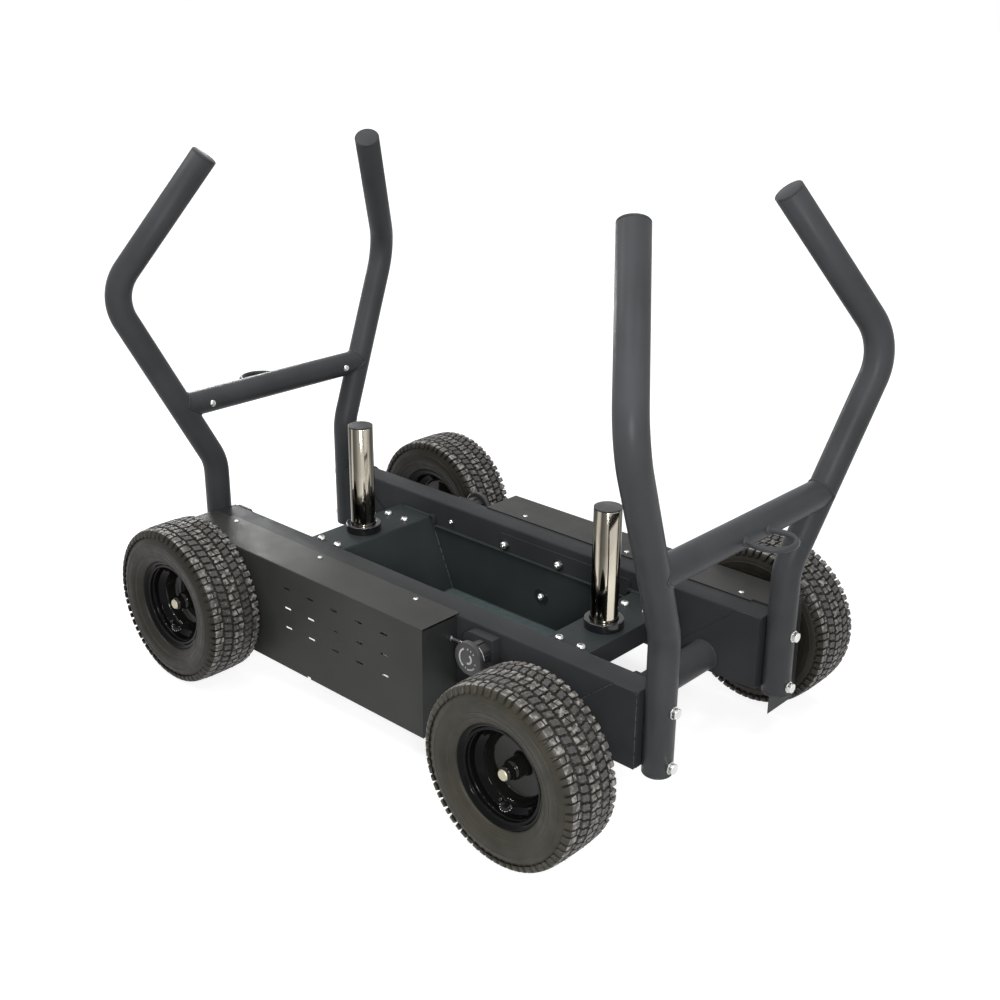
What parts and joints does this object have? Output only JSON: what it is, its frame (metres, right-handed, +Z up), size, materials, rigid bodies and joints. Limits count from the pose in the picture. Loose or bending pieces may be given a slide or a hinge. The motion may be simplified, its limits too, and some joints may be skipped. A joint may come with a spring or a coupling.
{
  "type": "wheeled weight sled",
  "caption": "Push and pull weight sled on rubber tyres, with bent tube handles at both ends, chrome plate posts, an open weight bin and boxed magnetic brakes.",
  "frame": {"origin": "on the ground, midway between the four wheels", "axes": "+X along the sled towards end B, +Y across it towards the far rail, +Z up"},
  "size_m": [1.3678, 0.828, 1.0059],
  "materials": {
    "frame_coat": "fine satin powder coat, charcoal",
    "box_coat": "fine satin powder coat, black",
    "bin_coat": "satin powder coat, scuffed",
    "black_coat": "satin powder coat, black",
    "gloss_black": "gloss black enamel",
    "post_chrome": "polished chrome plating",
    "zinc_steel": "bright zinc plating",
    "plain_steel": "machined steel",
    "bearing_steel": "ground steel",
    "cast_aluminium": "turned aluminium",
    "black_plastic": "moulded nylon, satin",
    "tyre_rubber": "dry black rubber, turf tread"
  },
  "bodies": {
    "frame": {"handle_a_near": "frame_coat", "axle_bearing_a_near": "bearing_steel", "handle_a_far": "frame_coat", "axle_bearing_a_far": "bearing_steel", "crossbar_a": "frame_coat", "tow_loop_a": "black_coat", "cross_member_a": "frame_coat", "weight_post_a": "post_chrome", "post_cap_a": "black_plastic", "post_collar_a": "black_plastic", "axle_tube_a": "frame_coat", "handle_b_near": "frame_coat", "axle_bearing_b_near": "bearing_steel", "handle_b_far": "frame_coat", "axle_bearing_b_far": "bearing_steel", "crossbar_b": "frame_coat", "tow_loop_b": "black_coat", "cross_member_b": "frame_coat", "weight_post_b": "post_chrome", "post_cap_b": "black_plastic", "post_collar_b": "black_plastic", "axle_tube_b": "frame_coat", "rail_near": "frame_coat", "mount_strap_near": "frame_coat", "box_tray_near": "box_coat", "box_cover_near": "box_coat", "drive_chain_near": "plain_steel", "rotor_bearing_near": "cast_aluminium", "link_guide_near": "black_plastic", "selector_housing_near": "frame_coat", "rail_far": "frame_coat", "mount_strap_far": "frame_coat", "box_tray_far": "box_coat", "box_cover_far": "box_coat", "drive_chain_far": "plain_steel", "rotor_bearing_far": "cast_aluminium", "link_guide_far": "black_plastic", "selector_housing_far": "frame_coat", "weight_bin": "bin_coat"},
    "wheelset_a": {"axle_a": "plain_steel", "axle_sprocket_a": "plain_steel", "rim_a_near": "gloss_black", "rim_a_far": "gloss_black", "tyre_a_near": "tyre_rubber", "tyre_a_far": "tyre_rubber"},
    "wheelset_b": {"axle_b": "plain_steel", "axle_sprocket_b": "plain_steel", "rim_b_near": "gloss_black", "rim_b_far": "gloss_black", "tyre_b_near": "tyre_rubber", "tyre_b_far": "tyre_rubber"},
    "rotor_near": {"brake_rotor_near": "cast_aluminium"},
    "yoke_near": {"magnet_yoke_near": "plain_steel", "link_rod_near": "zinc_steel"},
    "knob_near": {"selector_knob_near": "black_plastic"},
    "rotor_far": {"brake_rotor_far": "cast_aluminium"},
    "yoke_far": {"magnet_yoke_far": "plain_steel", "link_rod_far": "zinc_steel"},
    "knob_far": {"selector_knob_far": "black_plastic"}
  },
  "joints": [
    {"name": "wheelset_a_spin", "type": "hinge", "parent": "frame", "child": "wheelset_a", "pos_m": [-0.435, 0, 0.158], "axis": [0, 1, 0], "continuous": true},
    {"name": "wheelset_b_spin", "type": "hinge", "parent": "frame", "child": "wheelset_b", "pos_m": [0.435, 0, 0.158], "axis": [0, 1, 0], "continuous": true},
    {"name": "rotor_near_spin", "type": "hinge", "parent": "frame", "child": "rotor_near", "pos_m": [-0.079, -0.262, 0.165], "axis": [0, 1, 0], "continuous": true},
    {"name": "rotor_far_spin", "type": "hinge", "parent": "frame", "child": "rotor_far", "pos_m": [0.079, 0.262, 0.165], "axis": [0, 1, 0], "continuous": true},
    {"name": "selector_near_turn", "type": "hinge", "parent": "frame", "child": "knob_near", "pos_m": [0.232, -0.2217, 0.233], "axis": [0, 1, 0], "range_deg": [0, 270]},
    {"name": "selector_far_turn", "type": "hinge", "parent": "frame", "child": "knob_far", "pos_m": [-0.232, 0.2217, 0.233], "axis": [0, -1, 0], "range_deg": [0, 270]},
    {"name": "yoke_near_slide", "type": "slide", "parent": "frame", "child": "yoke_near", "axis": [-1, 0, 0], "range_m": [0, 0.024]},
    {"name": "yoke_far_slide", "type": "slide", "parent": "frame", "child": "yoke_far", "axis": [1, 0, 0], "range_m": [0, 0.024]}
  ],
  "couplings": [
    {"joint": "rotor_near_spin", "follows": "wheelset_a_spin", "ratio": 2.4},
    {"joint": "rotor_far_spin", "follows": "wheelset_b_spin", "ratio": 2.4},
    {"joint": "selector_near_turn", "follows": "yoke_near_slide", "rad_per_m": 196.34},
    {"joint": "selector_far_turn", "follows": "yoke_far_slide", "rad_per_m": 196.34}
  ]
}
